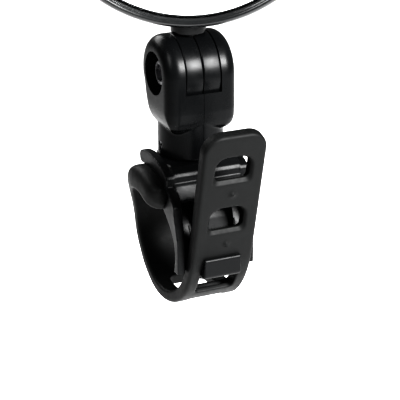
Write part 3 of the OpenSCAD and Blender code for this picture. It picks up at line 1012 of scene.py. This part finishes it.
class SMALL_OT_finish(bpy.types.Operator):
    """Give the washers, post, nut, set screw and foam their finishes"""

    bl_idname = "bike_mirror.small_parts"
    bl_label = "Small parts"

    def execute(self, context):
        zinc = turned_metal("zinc_plate", (0.56, 0.57, 0.58), 0.28)
        spring = turned_metal("spring_steel", (0.40, 0.40, 0.41), 0.32)
        black = turned_metal("black_oxide_small", (0.09, 0.09, 0.095), 0.35)
        acetal = moulded_plastic("acetal", (0.62, 0.60, 0.53), 0.4, specular=0.5)
        nitrile = strap_rubber("nitrile", (0.05, 0.03, 0.02))
        foam = open_foam("foam", (0.09, 0.09, 0.095))
        finishes = {
            "swivel_post": zinc, "post_screw": zinc, "clamp_nut": zinc, "swivel_spring_washer": spring,
            "swivel_set_screw": black, "screw_washer": black, "swivel_washer": acetal,
            "friction_washer_left": acetal, "friction_washer_right": acetal, "neck_friction_ring": nitrile,
            "glass_pad": foam,
        }
        for name, finish in finishes.items():
            mesh = frame["nodes"][name].data
            mesh.materials.clear()
            mesh.materials.append(finish)
        return {"FINISHED"}


# Stage


def softbox(name, place, aim, width, height, power):
    """A rectangular light, its sizes in metres and its power in watts, turned to face aim."""
    data = bpy.data.lights.new(name, "AREA")
    data.shape = "RECTANGLE"
    data.size = width
    data.size_y = height
    data.energy = power
    lamp = bpy.data.objects.new(name, data)
    bpy.context.scene.collection.objects.link(lamp)
    lamp.location = place
    lamp.rotation_euler = (Vector(aim) - Vector(place)).to_track_quat("-Z", "Y").to_euler()
    return lamp


class STAGE_OT_build(bpy.types.Operator):
    """Lay the pale floor, hang the soft lights and set the camera"""

    bl_idname = "bike_mirror.stage"
    bl_label = "Stage"

    def execute(self, context):
        scene = context.scene
        bm = bmesh.new()
        bmesh.ops.create_grid(bm, x_segments=1, y_segments=1, size=12)
        bmesh.ops.translate(bm, vec=(0, 0, -0.3), verts=bm.verts)
        floor = new_object("floor", bm)
        floor.data.materials.append(pale_board("pale_board"))
        world = bpy.data.worlds.new("studio")
        world.use_nodes = True
        world.node_tree.nodes["Background"].inputs["Color"].default_value = (1, 1, 1, 1)
        world.node_tree.nodes["Background"].inputs["Strength"].default_value = 0.26
        scene.world = world
        target = Vector((0, 0, 0.04))
        softbox("key_softbox", target + Vector((0.40, -0.84, 0.46)), target, 0.36, 0.42, 105)
        softbox("left_softbox", target + Vector((-0.80, -0.30, 0.62)), target, 0.35, 0.5, 12)
        softbox("back_softbox", target + Vector((-0.3, 1.0, 0.55)), target, 0.8, 0.5, 14)
        camera_data = bpy.data.cameras.new("camera")
        camera_data.lens = 139.5
        camera_data.sensor_width = 36
        camera = bpy.data.objects.new("camera", camera_data)
        scene.collection.objects.link(camera)
        camera.location = (-0.1392, -0.3198, 0.1515)
        camera.rotation_euler = Vector((0.3747, 0.8456, -0.3803)).to_track_quat("-Z", "Y").to_euler()
        scene.camera = camera
        scene.view_settings.view_transform = "Standard"
        scene.view_settings.look = "High Contrast"
        return {"FINISHED"}


# Add-on


class MIRROR_PT_panel(bpy.types.Panel):
    """Lists the mirror's parts and their settings"""

    bl_idname = "MIRROR_PT_panel"
    bl_label = "Bike Mirror"
    bl_space_type = "VIEW_3D"
    bl_region_type = "UI"
    bl_category = "Bike Mirror"

    def draw(self, context):
        for operator in BUILD_ORDER:
            self.layout.operator(operator.bl_idname)
        for group in ("bike_mirror_strap", "bike_mirror_body", "bike_mirror_head"):
            settings = getattr(context.scene, group)
            box = self.layout.box()
            for name in settings.__annotations__:
                box.prop(settings, name)


BUILD_ORDER = (
    STRAP_OT_build, SADDLE_OT_build, FORK_OT_build, BARREL_OT_build, SCREW_OT_build, HEAD_OT_build,
    NECK_OT_build, SMALL_OT_finish, STAGE_OT_build,
)
SETTINGS = {
    "bike_mirror_strap": StrapSettings,
    "bike_mirror_body": BodySettings,
    "bike_mirror_head": HeadSettings,
}


def register():
    for cls in (*SETTINGS.values(), *BUILD_ORDER, MIRROR_PT_panel):
        bpy.utils.register_class(cls)
    for name, cls in SETTINGS.items():
        setattr(bpy.types.Scene, name, PointerProperty(type=cls))


def unregister():
    for name in SETTINGS:
        delattr(bpy.types.Scene, name)
    for cls in reversed((*SETTINGS.values(), *BUILD_ORDER, MIRROR_PT_panel)):
        bpy.utils.unregister_class(cls)


def main():
    register()
    bpy.ops.bike_mirror.strap()
    bpy.ops.bike_mirror.saddle()
    bpy.ops.bike_mirror.fork()
    bpy.ops.bike_mirror.barrel()
    bpy.ops.bike_mirror.clamp_screw()
    bpy.ops.bike_mirror.head()
    bpy.ops.bike_mirror.neck()
    bpy.ops.bike_mirror.small_parts()
    bpy.ops.bike_mirror.stage()


if __name__ == "__main__":
    main()
